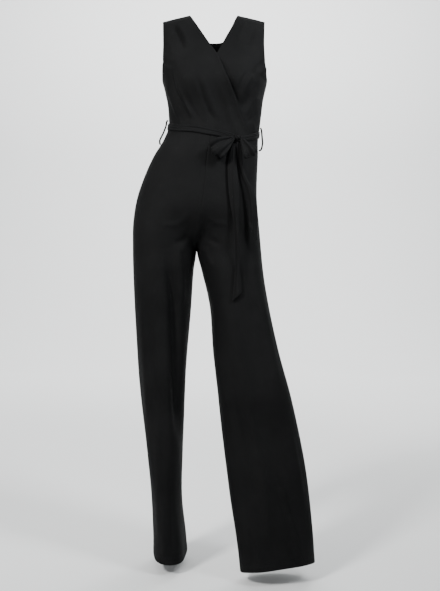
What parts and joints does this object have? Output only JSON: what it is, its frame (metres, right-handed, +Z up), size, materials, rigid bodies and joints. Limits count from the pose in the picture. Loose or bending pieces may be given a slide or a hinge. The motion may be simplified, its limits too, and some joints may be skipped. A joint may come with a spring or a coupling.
{
  "type": "wrap-front jumpsuit",
  "caption": "Sleeveless wide-leg jumpsuit with a crossover V neck and a sash tied in a bow, kept in its worn, hollow shape.",
  "frame": {"origin": "midway between the two shoulder seams, at the height where the wearer's shoulders hold the garment", "axes": "+Z up, -Y is the garment's front, +X is the wearer's left"},
  "size_m": [0.4716, 0.3312, 1.4587],
  "materials": {
    "crepe": "matt black polyester-elastane crepe jersey with a faint soft sheen",
    "sash_crepe": "the same crepe, cut as a flat sash",
    "loop_cord": "thin black rouleau cord"
  },
  "bodies": {
    "root": {"bodice_front_over": "crepe", "bodice_front_under": "crepe", "bodice_back": "crepe", "trouser_front_right": "crepe", "trouser_front_left": "crepe", "trouser_back_right": "crepe", "trouser_back_left": "crepe", "sash_band": "sash_crepe", "sash_knot": "sash_crepe", "sash_loop_right": "sash_crepe", "sash_loop_left": "sash_crepe", "sash_tail_long": "sash_crepe", "sash_tail_short": "sash_crepe", "belt_loop_right": "loop_cord", "belt_loop_left": "loop_cord"}
  },
  "joints": []
}
